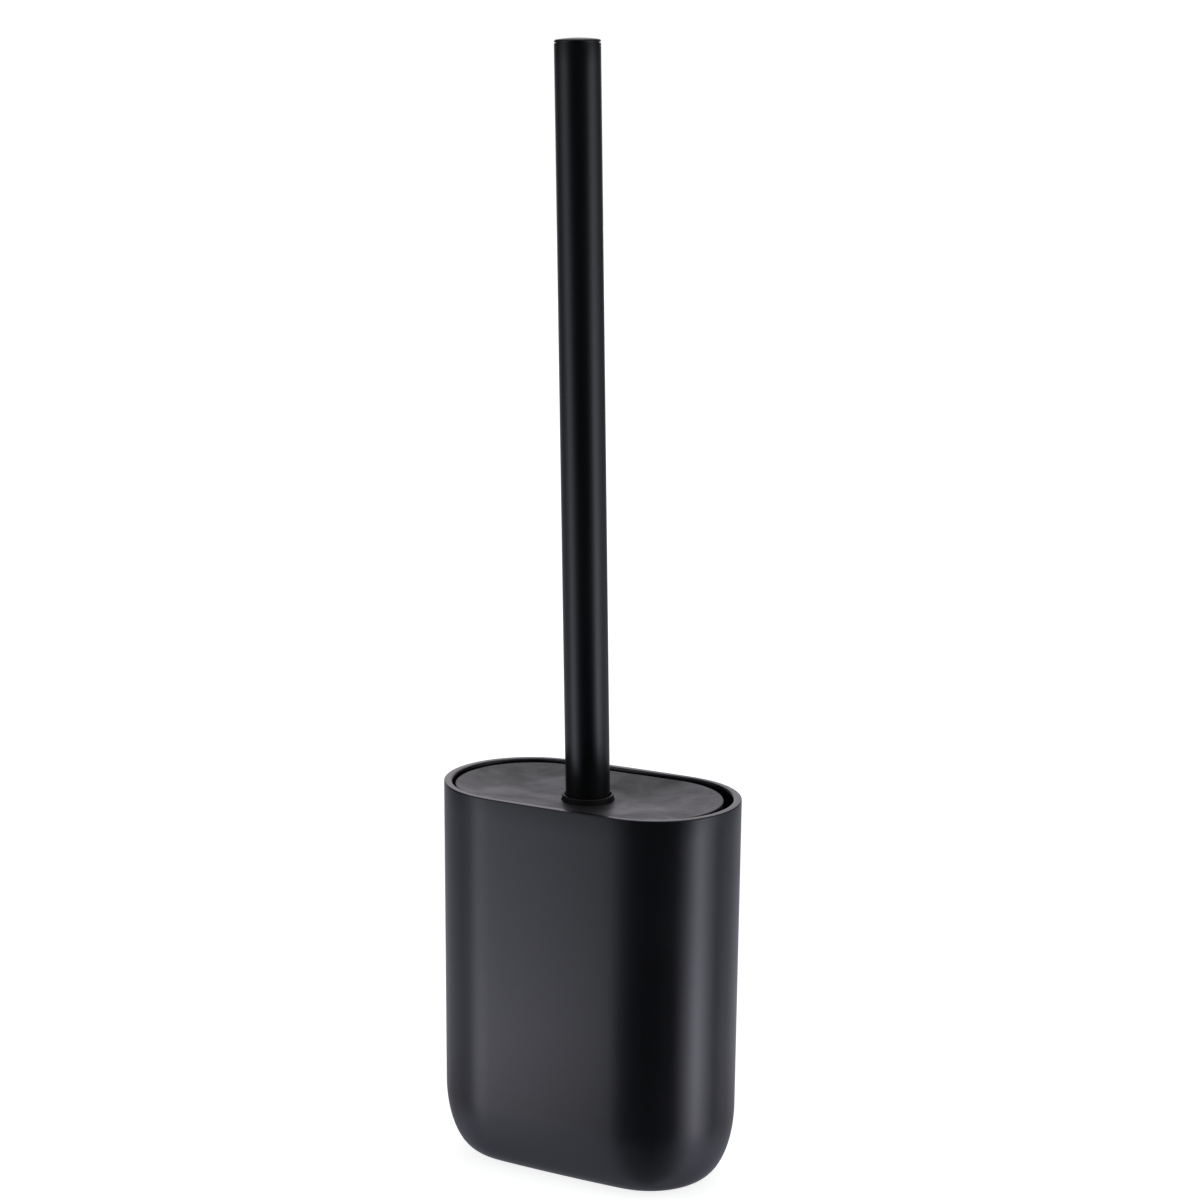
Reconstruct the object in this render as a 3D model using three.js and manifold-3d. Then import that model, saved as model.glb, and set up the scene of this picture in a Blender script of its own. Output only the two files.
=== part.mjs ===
// Free-standing toilet brush and holder: a slim, flat-sided cup with half-round
// ends, a loose dished lid lying in its mouth, and a brush whose steel handle
// runs up through a bushing in the middle of the lid.
//
// Millimetres, +Z up, long side of the cup along X. The origin is on the surface
// the holder stands on, under the middle of the cup.

import * as THREE from "three";
import { mergeVertices } from "three/addons/utils/BufferGeometryUtils.js";
import Module from "manifold-3d";

const wasm = await Module();
wasm.setup();

// ---------------------------------------------------------------- dimensions
// cup
const FOOT_PROUD = 0.8; // how far the rubber feet lift the cup
const CUP_HALF_LENGTH = 56.5; // at the rim
const CUP_HALF_WIDTH = 32.25; // at the rim
const CUP_HEIGHT = 140.6; // base to rim
const CUP_DRAFT = 0.0047; // each side, per millimetre of height
const BASE_ROUND_IN = 11.7; // bottom edge rounding, inwards
const BASE_ROUND_UP = 26.2; // bottom edge rounding, upwards
const WALL = 3.16;
const LIP_ROUND = 0.45;
const FLOOR_THICK = 3.2;
const RIB_DEEP = 2.7; // ribs inside the mouth that the lid lies on
const RIB_WIDE = 2.4;
const RIB_TALL = 9;
const RIB_TOP = 136.85; // above the cup's base
// feet
const FOOT_R = 5.5;
const FOOT_THICK = 1.5;
const FOOT_POCKET = 0.8;
const FOOT_X = 31;
const FOOT_Y = 11;
// lid
const LID_EDGE_Z = 139.55; // upper edge, above the cup's base
const LID_HALF_LENGTH = 51.03;
const LID_HALF_WIDTH = 28.4;
const LID_DISH = 3.3; // its middle lies this much below its edge
const LID_THICK = 2.4;
const LID_EDGE_ROUND = 0.5;
const LID_X = -1.0; // where the loose lid has settled in the mouth
const LID_Y = -0.5;
const LID_HOLE_R = 9.5;
const LID_LAND_R = 13.2; // flat land round the hole
// bushing in the lid
const BUSH_OUT_R = 9.37;
const BUSH_BORE_R = 8.42;
const BUSH_PROUD = 2.2; // above the lid
const BUSH_FLANGE_R = 12.4; // under the lid
const BUSH_FLANGE_THICK = 1.6;
// handle: the tube runs loosely in the bushing, so the brush leans in the cup
const TUBE_R = 8.0;
const TUBE_WALL = 0.8;
const LEAN_X = -0.0066; // sideways per millimetre of height
const LEAN_Y = -0.031;
const HANDLE_TOP = 267.75; // above the middle of the lid, along the handle
const CAP_SIDE = 0.5; // straight side of the end cap's head
const CAP_ROUND = 0.75;
const CAP_DOME = 0.55;
const CAP_SPIGOT = 11;
const PLUG_LONG = 22;
const STUD_R = 4.0; // M8
const STUD_LONG = 29;
const FIT = 0.3; // clearance between neighbours on the leaning brush
// brush head
const HEAD_TIP = -132.0; // lowest bristle tip, along the handle from the lid
const TIP_TALL = 21.6;
const CORE_R = 6.5;
const ROWS = 7;
const ROW_PITCH = 7.2;
const ROW_TALL = 6.6;
const BRISTLE_R = 23.0;
const NECK_LONG = 17;
const SHOULDER_R = 10.2;
const SHOULDER_THICK = 3;
const WASHER_THICK = 1.5;

// ----------------------------------------------------------------- materials
const mat = (color, roughness, metalness = 0) =>
  new THREE.MeshStandardMaterial({ color, roughness, metalness });
const CUP_BLACK = () => mat(0x26272a, 0.42);
const LID_BLACK = () => mat(0x3a3a3c, 0.62);
const STEEL_BLACK = () => mat(0x141516, 0.36, 0.2);
const GLOSS_BLACK = () => mat(0x121213, 0.3);
const RUBBER = () => mat(0x1a1a1a, 0.85);
const NYLON = () => mat(0x101011, 0.5);
const ZINC = () => mat(0xa8a9a6, 0.35, 1);
const CORE_BLACK = () => mat(0x18181a, 0.45);

// ------------------------------------------------------------------- helpers
const root = new THREE.Group();
root.name = "toilet_brush_and_holder";
const add = (parent, name, geometry, material) => {
  const m = new THREE.Mesh(geometry, material);
  m.name = name;
  parent.add(m);
  return m;
};

// Outline of a stadium with half-round ends, counter-clockwise seen from above.
const QUARTER = 12;
function stadium(a, b, cx = 0, cy = 0) {
  const shape = new THREE.Shape();
  const s = a - b;
  shape.absarc(s, 0, b, -Math.PI / 2, Math.PI / 2, false);
  shape.absarc(-s, 0, b, Math.PI / 2, (3 * Math.PI) / 2, false);
  const pts = [];
  for (const arc of shape.curves.filter((c) => c.isEllipseCurve))
    pts.push(...arc.getPoints(2 * QUARTER));
  return pts.map((p) => new THREE.Vector2(p.x + cx, p.y + cy));
}

// A closed skin through a list of sections, each {pts, z} with as many points
// as the others. The first and the last are closed by a fan about their middle.
function loft(sections, closed = false) {
  const n = sections[0].pts.length;
  const pos = [];
  const idx = [];
  for (const s of sections)
    s.pts.forEach((p, i) =>
      pos.push(p.x, p.y, typeof s.z === "function" ? s.z(p, i) : s.z),
    );
  const rows = sections.length;
  const last = closed ? rows : rows - 1;
  for (let r = 0; r < last; r++) {
    const a = r * n;
    const b = ((r + 1) % rows) * n;
    for (let i = 0; i < n; i++) {
      const j = (i + 1) % n;
      idx.push(a + i, a + j, b + j, a + i, b + j, b + i);
    }
  }
  if (!closed) {
    const fan = (r, up) => {
      const s = sections[r];
      let x = 0;
      let y = 0;
      for (const p of s.pts) {
        x += p.x / n;
        y += p.y / n;
      }
      const z = typeof s.z === "function" ? s.z(new THREE.Vector2(x, y)) : s.z;
      const c = pos.length / 3;
      pos.push(x, y, z);
      for (let i = 0; i < n; i++) {
        const j = (i + 1) % n;
        if (up) idx.push(r * n + i, r * n + j, c);
        else idx.push(r * n + j, r * n + i, c);
      }
    };
    fan(0, false);
    fan(rows - 1, true);
  }
  const g = new THREE.BufferGeometry();
  g.setAttribute("position", new THREE.Float32BufferAttribute(pos, 3));
  g.setIndex(idx);
  g.computeVertexNormals();
  return g;
}

// A turned piece about +Z from [radius, height] points. The profile runs from
// axis to axis, or closes on itself; it goes up the outside.
function turned(profile, segments) {
  const g = new THREE.LatheGeometry(
    profile.map(([r, z]) => new THREE.Vector2(r, z)),
    segments,
  );
  g.rotateX(Math.PI / 2); // the lathe turns about Y
  return g;
}
const ringProfile = (pts) => [...pts, pts[0]];

function solid(geometry) {
  const g = geometry.clone();
  g.deleteAttribute("normal");
  if (g.getAttribute("uv")) g.deleteAttribute("uv");
  const m = mergeVertices(g, 1e-4);
  return new wasm.Manifold(
    new wasm.Mesh({
      numProp: 3,
      vertProperties: new Float32Array(m.attributes.position.array),
      triVerts: new Uint32Array(m.index.array),
    }),
  );
}
function geometryOf(manifold) {
  const m = manifold.getMesh();
  const g = new THREE.BufferGeometry();
  g.setAttribute(
    "position",
    new THREE.Float32BufferAttribute(new Float32Array(m.vertProperties), 3),
  );
  g.setIndex(new THREE.Uint32BufferAttribute(new Uint32Array(m.triVerts), 1));
  g.computeVertexNormals();
  return g;
}

// -------------------------------------------------------------------- holder
const holder = new THREE.Group();
holder.position.z = FOOT_PROUD;
root.add(holder);

const draft = (z) => CUP_DRAFT * (CUP_HEIGHT - z);
const outerAt = (z, inset = 0) =>
  stadium(
    CUP_HALF_LENGTH - draft(z) - inset,
    CUP_HALF_WIDTH - draft(z) - inset,
  );
{
  const s = [];
  // outside: flat base, elliptic bottom edge, drafted wall
  const steps = 9;
  for (let i = 0; i <= steps; i++) {
    const t = (i / steps) * (Math.PI / 2);
    const z = BASE_ROUND_UP * (1 - Math.cos(t));
    s.push({ pts: outerAt(BASE_ROUND_UP, BASE_ROUND_IN * (1 - Math.sin(t))), z });
  }
  s.push({ pts: outerAt(80), z: 80 });
  // rounded lip
  const r = LIP_ROUND;
  const wallTop = CUP_HEIGHT - r;
  for (const d of [0, 30, 60, 90]) {
    const t = (d * Math.PI) / 180;
    s.push({
      pts: outerAt(wallTop, r * (1 - Math.cos(t))),
      z: wallTop + r * Math.sin(t),
    });
  }
  for (const d of [90, 60, 30, 0]) {
    const t = (d * Math.PI) / 180;
    s.push({
      pts: outerAt(wallTop, WALL - r * (1 - Math.cos(t))),
      z: wallTop + r * Math.sin(t),
    });
  }
  s.push({ pts: outerAt(80, WALL), z: 80 });
  // inside of the bottom edge and the floor
  const inIn = BASE_ROUND_IN - 2.7;
  const inUp = BASE_ROUND_UP - FLOOR_THICK;
  for (let i = steps - 1; i >= 0; i--) {
    const t = (i / (steps - 1)) * (Math.PI / 2);
    const z = FLOOR_THICK + inUp * (1 - Math.cos(t));
    s.push({
      pts: outerAt(BASE_ROUND_UP, WALL + inIn * (1 - Math.sin(t))),
      z,
    });
  }
  let cup = solid(loft(s));

  // support ribs inside the mouth: a slanted foot, a flat top
  const rib = (x, y, outX, outY) => {
    const shape = new THREE.Shape();
    // in the plane of (outwards, up)
    shape.moveTo(1.2, RIB_TOP);
    shape.lineTo(-RIB_DEEP, RIB_TOP);
    shape.lineTo(-RIB_DEEP, RIB_TOP - RIB_TALL + 3.5);
    shape.lineTo(1.2, RIB_TOP - RIB_TALL - 1.6);
    shape.closePath();
    const g = new THREE.ExtrudeGeometry(shape, {
      depth: RIB_WIDE,
      bevelEnabled: false,
    });
    g.translate(0, 0, -RIB_WIDE / 2);
    g.rotateX(Math.PI / 2);
    g.rotateZ(Math.atan2(outY, outX));
    g.translate(x, y, 0);
    return solid(g);
  };
  const a = CUP_HALF_LENGTH - WALL - 0.03;
  const b = CUP_HALF_WIDTH - WALL - 0.03;
  const c = a - b;
  const turn = (24 * Math.PI) / 180;
  for (const sx of [-1, 1]) {
    cup = cup.add(rib(sx * a, 0, sx, 0));
    for (const sy of [-1, 1]) {
      const ox = Math.sin(turn) * sx;
      const oy = Math.cos(turn) * sy;
      cup = cup.add(rib(sx * c + b * ox, b * oy, ox, oy));
    }
  }
  // pockets for the feet
  for (const sx of [-1, 1])
    for (const sy of [-1, 1]) {
      const p = new THREE.CylinderGeometry(FOOT_R + 0.3, FOOT_R + 0.3, 4, 28);
      p.rotateX(Math.PI / 2);
      p.translate(sx * FOOT_X, sy * FOOT_Y, FOOT_POCKET - 2);
      cup = cup.subtract(solid(p));
    }
  add(holder, "holder_cup", geometryOf(cup), CUP_BLACK());
}
for (const [nx, sx] of [["left", -1], ["right", 1]])
  for (const [ny, sy] of [["front", -1], ["back", 1]]) {
    const g = turned(
      [
        [0, -FOOT_PROUD],
        [FOOT_R - 0.5, -FOOT_PROUD],
        [FOOT_R, -FOOT_PROUD + 0.4],
        [FOOT_R, -FOOT_PROUD + FOOT_THICK],
        [0, -FOOT_PROUD + FOOT_THICK],
      ],
      28,
    );
    const m = add(holder, `foot_pad_${ny}_${nx}`, g, RUBBER());
    m.position.set(sx * FOOT_X, sy * FOOT_Y, 0);
  }

// ----------------------------------------------------------------------- lid
const lid = new THREE.Group();
lid.position.set(LID_X, LID_Y, FOOT_PROUD + LID_EDGE_Z);
root.add(lid);

// height of the dish at a point of the lid, 0 at the edge
function dish(p) {
  const b = LID_HALF_WIDTH;
  const s = LID_HALF_LENGTH - b;
  // the stadium through p that is similar to the edge
  let lo = 0;
  let hi = 1.2;
  const x = Math.abs(p.x);
  const y = Math.abs(p.y);
  for (let i = 0; i < 40; i++) {
    const k = (lo + hi) / 2;
    const inside = x <= k * s ? y <= k * b : Math.hypot(x - k * s, y) <= k * b;
    if (inside) hi = k;
    else lo = k;
  }
  const k = (lo + hi) / 2;
  return -LID_DISH * Math.max(0, 1 - k * k);
}
{
  const landZ = -LID_DISH + 0.08;
  const circle = (r, n) => {
    // points matched in order to the stadium's outline
    const ref = stadium(LID_HALF_LENGTH, LID_HALF_WIDTH);
    return ref.map((p, i) => {
      const q = (Math.floor(i / (2 * QUARTER + 1)) * Math.PI) - Math.PI / 2;
      const t = q + ((i % (2 * QUARTER + 1)) / (2 * QUARTER + 1)) * Math.PI +
        Math.PI / (2 * (2 * QUARTER + 1));
      return new THREE.Vector2(r * Math.cos(t), r * Math.sin(t));
    });
  };
  const scaled = (k, inset = 0) =>
    stadium(k * LID_HALF_LENGTH - inset, k * LID_HALF_WIDTH - inset);
  const top = [];
  const under = [];
  const e = LID_EDGE_ROUND;
  for (const k of [0.62, 0.8, 0.92]) {
    top.push({ pts: scaled(k), z: (p) => dish(p) });
    under.push({ pts: scaled(k), z: (p) => dish(p) - LID_THICK });
  }
  const s = [
    { pts: circle(LID_HOLE_R), z: landZ - LID_THICK },
    { pts: circle(LID_LAND_R), z: landZ - LID_THICK },
    ...under,
    { pts: scaled(1, e), z: -LID_THICK },
    { pts: scaled(1), z: -LID_THICK + e },
    { pts: scaled(1), z: -e },
    { pts: scaled(1, 0.3 * e), z: -0.3 * e },
    { pts: scaled(1, e), z: 0 },
    ...top.reverse(),
    { pts: circle(LID_LAND_R), z: landZ },
    { pts: circle(LID_HOLE_R), z: landZ },
  ];
  add(lid, "lid_plate", loft(s, true), LID_BLACK());

  // bushing, pushed in from below: flange under the lid, sleeve through the
  // hole and proud of the top
  const t = -LID_DISH + BUSH_PROUD;
  const f = landZ - LID_THICK - 0.1;
  add(
    lid,
    "lid_bushing",
    turned(
      ringProfile([
        [BUSH_BORE_R + 0.4, f - BUSH_FLANGE_THICK],
        [BUSH_FLANGE_R - 0.4, f - BUSH_FLANGE_THICK],
        [BUSH_FLANGE_R, f - BUSH_FLANGE_THICK + 0.4],
        [BUSH_FLANGE_R, f],
        [BUSH_OUT_R, f],
        [BUSH_OUT_R, t - 0.25],
        [BUSH_OUT_R - 0.25, t],
        [BUSH_BORE_R + 0.35, t],
        [BUSH_BORE_R, t - 0.35],
        [BUSH_BORE_R, f - BUSH_FLANGE_THICK + 0.4],
      ]),
      40,
    ),
    GLOSS_BLACK(),
  );
}

// --------------------------------------------------------------------- brush
// z = 0 of this group is the middle of the lid's top; it leans with the handle.
const brush = new THREE.Group();
brush.position.set(LID_X, LID_Y, FOOT_PROUD + LID_EDGE_Z - LID_DISH);
brush.quaternion.setFromUnitVectors(
  new THREE.Vector3(0, 0, 1),
  new THREE.Vector3(LEAN_X, LEAN_Y, 1).normalize(),
);
root.add(brush);

const coreBottom = HEAD_TIP + TIP_TALL + FIT;
const rowsTop = coreBottom + 0.9 + ROWS * ROW_PITCH;
const neckTop = rowsTop + NECK_LONG;
const shoulderTop = neckTop + SHOULDER_THICK;
const washerBottom = shoulderTop + 0.1;
const tubeBottom = washerBottom + WASHER_THICK + 0.1;
const capHead = CAP_SIDE + CAP_ROUND + CAP_DOME;
const tubeTop = HANDLE_TOP - capHead;

add(
  brush,
  "handle_tube",
  turned(
    ringProfile([
      [TUBE_R - TUBE_WALL, tubeBottom],
      [TUBE_R - 0.2, tubeBottom],
      [TUBE_R, tubeBottom + 0.2],
      [TUBE_R, tubeTop],
      [TUBE_R - TUBE_WALL, tubeTop],
    ]),
    48,
  ),
  STEEL_BLACK(),
);
{
  const z = tubeTop + 0.05;
  const r = TUBE_R - 0.02;
  const cs = Math.SQRT1_2;
  add(
    brush,
    "handle_end_cap",
    turned(
      [
        [0, z - CAP_SPIGOT],
        [5.9, z - CAP_SPIGOT],
        [TUBE_R - TUBE_WALL - 0.15, z - CAP_SPIGOT + 0.9],
        [TUBE_R - TUBE_WALL - 0.15, z],
        [r, z],
        [r, z + CAP_SIDE],
        [r - CAP_ROUND * (1 - cs), z + CAP_SIDE + CAP_ROUND * cs],
        [r - CAP_ROUND, z + CAP_SIDE + CAP_ROUND],
        [4.2, z + CAP_SIDE + CAP_ROUND + CAP_DOME * 0.72],
        [0, HANDLE_TOP],
      ],
      40,
    ),
    GLOSS_BLACK(),
  );
}
// threaded plug pressed into the lower end of the tube
add(
  brush,
  "handle_threaded_plug",
  turned(
    ringProfile([
      [STUD_R + FIT, tubeBottom + 0.4],
      [TUBE_R - TUBE_WALL - 0.1, tubeBottom + 0.4],
      [TUBE_R - TUBE_WALL - 0.1, tubeBottom + PLUG_LONG - 1],
      [TUBE_R - TUBE_WALL - 1.1, tubeBottom + PLUG_LONG],
      [STUD_R + FIT, tubeBottom + PLUG_LONG],
    ]),
    32,
  ),
  ZINC(),
);
// rubber washer between the tube and the brush head
add(
  brush,
  "sealing_washer",
  turned(
    ringProfile([
      [STUD_R + FIT + 0.4, washerBottom],
      [TUBE_R - 0.1, washerBottom],
      [TUBE_R - 0.1, washerBottom + WASHER_THICK],
      [STUD_R + FIT + 0.4, washerBottom + WASHER_THICK],
    ]),
    32,
  ),
  RUBBER(),
);
// core of the head, with a socket for the stud
const socketBottom = shoulderTop - 13;
add(
  brush,
  "head_core",
  turned(
    [
      [0, coreBottom],
      [4.6, coreBottom],
      [CORE_R, coreBottom + 1.9],
      [CORE_R, rowsTop],
      [SHOULDER_R - 2.4, neckTop - 1.6],
      [SHOULDER_R, neckTop],
      [SHOULDER_R, shoulderTop - 0.5],
      [SHOULDER_R - 0.5, shoulderTop],
      [STUD_R + FIT, shoulderTop],
      [STUD_R + FIT, socketBottom],
      [0, socketBottom],
    ],
    32,
  ),
  CORE_BLACK(),
);
{
  const z = socketBottom + FIT;
  add(
    brush,
    "head_stud",
    turned(
      [
        [0, z],
        [STUD_R - 0.7, z],
        [STUD_R, z + 0.7],
        [STUD_R, z + STUD_LONG - 1],
        [STUD_R - 1, z + STUD_LONG],
        [0, z + STUD_LONG],
      ],
      24,
    ),
    ZINC(),
  );
}
// bristles: a row of tufts all round for each ring of holes in the core
for (let i = 0; i < ROWS; i++) {
  const z = coreBottom + 0.9 + i * ROW_PITCH + (ROW_PITCH - ROW_TALL) / 2;
  const r = BRISTLE_R;
  add(
    brush,
    `bristle_row_${i + 1}`,
    turned(
      ringProfile([
        [CORE_R + FIT, z + 1.6],
        [r - 0.6, z],
        [r, z + 0.7],
        [r, z + ROW_TALL - 0.7],
        [r - 0.6, z + ROW_TALL],
        [CORE_R + FIT, z + ROW_TALL - 1.6],
      ]),
      30,
    ),
    NYLON(),
  );
}
// the tufts of the core's rounded end, fanned out into a dome
add(
  brush,
  "bristle_tip",
  turned(
    [
      [0, HEAD_TIP],
      [8.5, HEAD_TIP + 0.6],
      [15, HEAD_TIP + 3.2],
      [19.6, HEAD_TIP + 7.8],
      [22.2, HEAD_TIP + 14],
      [22.9, HEAD_TIP + TIP_TALL - 0.8],
      [22.2, HEAD_TIP + TIP_TALL],
      [0, HEAD_TIP + TIP_TALL],
    ],
    30,
  ),
  NYLON(),
);

export default root;
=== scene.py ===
import math
import random

import bpy
import bmesh
from mathutils import Matrix, Vector


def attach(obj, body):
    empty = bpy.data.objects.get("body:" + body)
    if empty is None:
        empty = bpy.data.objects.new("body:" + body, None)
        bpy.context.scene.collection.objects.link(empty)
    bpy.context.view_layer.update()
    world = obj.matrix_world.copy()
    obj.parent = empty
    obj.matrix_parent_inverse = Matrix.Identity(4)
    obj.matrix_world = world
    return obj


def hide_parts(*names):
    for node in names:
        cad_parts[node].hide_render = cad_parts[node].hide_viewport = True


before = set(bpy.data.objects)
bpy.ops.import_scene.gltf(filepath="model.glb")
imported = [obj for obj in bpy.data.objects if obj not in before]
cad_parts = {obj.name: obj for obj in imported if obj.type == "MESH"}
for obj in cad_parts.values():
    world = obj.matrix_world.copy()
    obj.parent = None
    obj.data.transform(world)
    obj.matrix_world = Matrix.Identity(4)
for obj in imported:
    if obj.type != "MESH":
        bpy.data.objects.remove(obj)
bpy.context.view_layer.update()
MM = 0.001
scene = bpy.context.scene
scene.view_settings.view_transform = "Standard"
scene.view_settings.look = "None"
scene.view_settings.exposure = 0.0
scene.view_settings.gamma = 1.0

# --------------------------------------------------------------- dimensions
# millimetres, the same values as the CAD model
FOOT = 0.8
CUP_A, CUP_B, CUP_H, DRAFT = 56.5, 32.25, 140.6, 0.0047
RND_IN, RND_UP = 11.7, 26.2
# the outer outline, by curvature from the middle of the broad side: a faint
# crown, a run-in, then the round end, with the length of each
CROWN, RUN_IN, ROUND = (0.00144, 19.0682), 14.0, (0.03161, 41.506)
WALL, LIP, LIP_IN, FLOOR = 3.16, 0.45, 1.0, 3.2
RIB_DEEP, RIB_WIDE, RIB_TALL, RIB_TOP = 2.7, 2.4, 9.0, 136.85
FOOT_R, FOOT_X, FOOT_Y, POCKET = 5.5, 31.0, 11.0, 0.8
LID_Z, LID_A, LID_B, DISH = 139.55, 51.03, 28.4, 3.3
LID_T, LID_E, LID_X, LID_Y, HOLE, LAND = 2.4, 0.5, -1.0, -0.5, 9.5, 13.2
BUSH_R, BORE, BUSH_UP, BUSH_F, BUSH_FT = 9.37, 8.42, 2.2, 12.4, 1.6
TUBE_R, TUBE_W, LEAN_X, LEAN_Y, TOP = 8.0, 0.8, -0.0066, -0.031, 267.75
CAP_SIDE, CAP_RND, CAP_DOME, SPIGOT = 0.5, 0.75, 0.55, 11.0
PLUG_L, STUD_R, STUD_L, FIT = 22.0, 4.0, 29.0, 0.3
TIP, TIP_T, CORE_R, ROWS, PITCH, ROW_T = -132.0, 21.6, 6.5, 7, 7.2, 6.6
BRISTLE_R, NECK, SHO_R, SHO_T, WASH_T = 23.0, 17.0, 10.2, 3.0, 1.5
core_bottom = TIP + TIP_T + FIT
rows_top = core_bottom + 0.9 + ROWS * PITCH
neck_top = rows_top + NECK
sho_top = neck_top + SHO_T
wash_bottom = sho_top + 0.1
tube_bottom = wash_bottom + WASH_T + 0.1
tube_top = TOP - CAP_SIDE - CAP_RND - CAP_DOME
CUP_AT = Matrix.Translation((0, 0, FOOT))
LID_AT = Matrix.Translation((LID_X, LID_Y, FOOT + LID_Z))
lean = Vector((LEAN_X, LEAN_Y, 1)).normalized()
BRUSH_AT = Matrix.Translation((LID_X, LID_Y, FOOT + LID_Z - DISH)) @ (
    Vector((0, 0, 1)).rotation_difference(lean).to_matrix().to_4x4()
)

# ------------------------------------------------------------------- camera
cam = bpy.data.cameras.new("camera")
cam.sensor_fit = "HORIZONTAL"
cam.sensor_width = 36.0
cam.lens = 2468.74 * 36.0 / 1200.0
cam.clip_start, cam.clip_end = 0.05, 60
camera = bpy.data.objects.new("camera", cam)
scene.collection.objects.link(camera)
scene.camera = camera


def aim(azimuth, elevation, roll, tx, ty, dist):
    ca, sa, ce, se = (
        math.cos(azimuth),
        math.sin(azimuth),
        math.cos(elevation),
        math.sin(elevation),
    )
    right = Vector((ca, sa, 0))
    fwd = Vector((-sa * ce, ca * ce, -se))
    down = fwd.cross(right)
    r2 = right * math.cos(roll) + down * math.sin(roll)
    d2 = down * math.cos(roll) - right * math.sin(roll)
    pos = -(r2 * tx + d2 * ty + fwd * dist) + Vector((0, 0, FOOT))
    back = -fwd
    up = -d2
    return Matrix(
        (
            (r2.x, up.x, back.x, pos.x * MM),
            (r2.y, up.y, back.y, pos.y * MM),
            (r2.z, up.z, back.z, pos.z * MM),
            (0, 0, 0, 1),
        )
    )


camera.matrix_world = aim(0.48263, 0.193049, -0.0082095, -4.3336, 205.5063, 916.07)


# ------------------------------------------------------------ mesh building
def mesh_object(name, verts, faces, at=Matrix.Identity(4), sharp=38):
    me = bpy.data.meshes.new(name)
    me.from_pydata([tuple((at @ Vector(v)) * MM) for v in verts], [], faces)
    me.validate()
    bm = bmesh.new()
    bm.from_mesh(me)
    bmesh.ops.remove_doubles(bm, verts=bm.verts, dist=1e-7)
    bmesh.ops.recalc_face_normals(bm, faces=bm.faces)
    bm.to_mesh(me)
    bm.free()
    for p in me.polygons:
        p.use_smooth = True
    me.set_sharp_from_angle(angle=math.radians(sharp))
    ob = bpy.data.objects.new(name, me)
    scene.collection.objects.link(ob)
    return ob


def skin(sections, around=True, loop=False, start=None, end=None):
    """Vertices and faces through sections of equally many points. start and end
    close it: a point, or None to leave it open."""
    n = len(sections[0])
    verts = [p for s in sections for p in s]
    faces = []
    last = len(sections) if loop else len(sections) - 1
    for r in range(last):
        a, b = r * n, ((r + 1) % len(sections)) * n
        for i in range(n):
            j = (i + 1) % n
            faces.append((a + i, a + j, b + j, b + i))
    if start is not None:
        c = len(verts)
        verts.append(start)
        faces += [(c, (i + 1) % n, i) for i in range(n)]
    if end is not None:
        c = len(verts)
        verts.append(end)
        a = (len(sections) - 1) * n
        faces += [(c, a + i, a + (i + 1) % n) for i in range(n)]
    return verts, faces


def arc(cx, cy, r, a0, a1, steps):
    """Points of a fillet in a (radius, height) profile, angles in degrees."""
    return [
        (
            cx + r * math.cos(math.radians(a0 + (a1 - a0) * i / steps)),
            cy + r * math.sin(math.radians(a0 + (a1 - a0) * i / steps)),
        )
        for i in range(steps + 1)
    ]


def turned(name, profile, at, n=96, sharp=38):
    """A turned piece from a (radius, height) profile: from axis to axis, or a
    closed ring when it starts off the axis."""
    ring = profile[0][0] > 1e-6
    body = profile if ring else profile[1:-1]
    sections = [
        [
            (
                r * math.cos(2 * math.pi * i / n),
                r * math.sin(2 * math.pi * i / n),
                z,
            )
            for i in range(n)
        ]
        for r, z in body
    ]
    if ring:
        v, f = skin(sections, loop=True)
    else:
        v, f = skin(
            sections, start=(0, 0, profile[0][1]), end=(0, 0, profile[-1][1])
        )
    return mesh_object(name, v, f, at, sharp)


def outline(a, b, ends, side=14):
    """A stadium outline, counter-clockwise. ends is the list of angles in
    degrees, from -90 to 90, that its round ends are divided at."""
    s = a - b
    pts = [
        (s + b * math.cos(math.radians(t)), b * math.sin(math.radians(t)))
        for t in ends
    ]
    pts += [(s - 2 * s * i / side, b) for i in range(1, side)]
    pts += [(-x, -y) for x, y in pts[: len(ends)]]
    pts += [(-s + 2 * s * i / side, -b) for i in range(1, side)]
    return pts


def crowned(ends, side=14):
    """The cup's outer outline as (x, y, normal x, normal y), point for point
    with outline(CUP_A, CUP_B, ends, side)."""
    (k0, l0), (k1, l2) = CROWN, ROUND
    n = 3000
    length = l0 + RUN_IN + l2
    ds = length / n
    path = [(0.0, CUP_B, 0.0)]
    x, y, th = path[0]
    for i in range(n):
        t = min(1.0, max(0.0, ((i + 0.5) * ds - l0) / RUN_IN))
        k = k0 + (k1 - k0) * t * t * (3 - 2 * t)
        mid = th + k * ds / 2
        x, y, th = x + ds * math.cos(mid), y - ds * math.sin(mid), th + k * ds
        path.append((x, y, th))
    s = CUP_A - CUP_B
    whole = s + math.pi / 2 * CUP_B

    def at(run, sx, sy):
        f = min(1.0, run / whole) * n
        i = min(n - 1, int(f))
        x, y, th = (p + (q - p) * (f - i) for p, q in zip(path[i], path[i + 1]))
        return sx * x, sy * y, sx * math.sin(th), sy * math.cos(th)

    pts = []
    for t in ends:
        pts.append(at(s + CUP_B * math.radians(90 - abs(t)), 1, -1 if t < 0 else 1))
    for i in range(1, side):
        x = s - 2 * s * i / side
        pts.append(at(abs(x), -1 if x < 0 else 1, 1))
    return pts + [tuple(-c for c in p) for p in pts]


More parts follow.
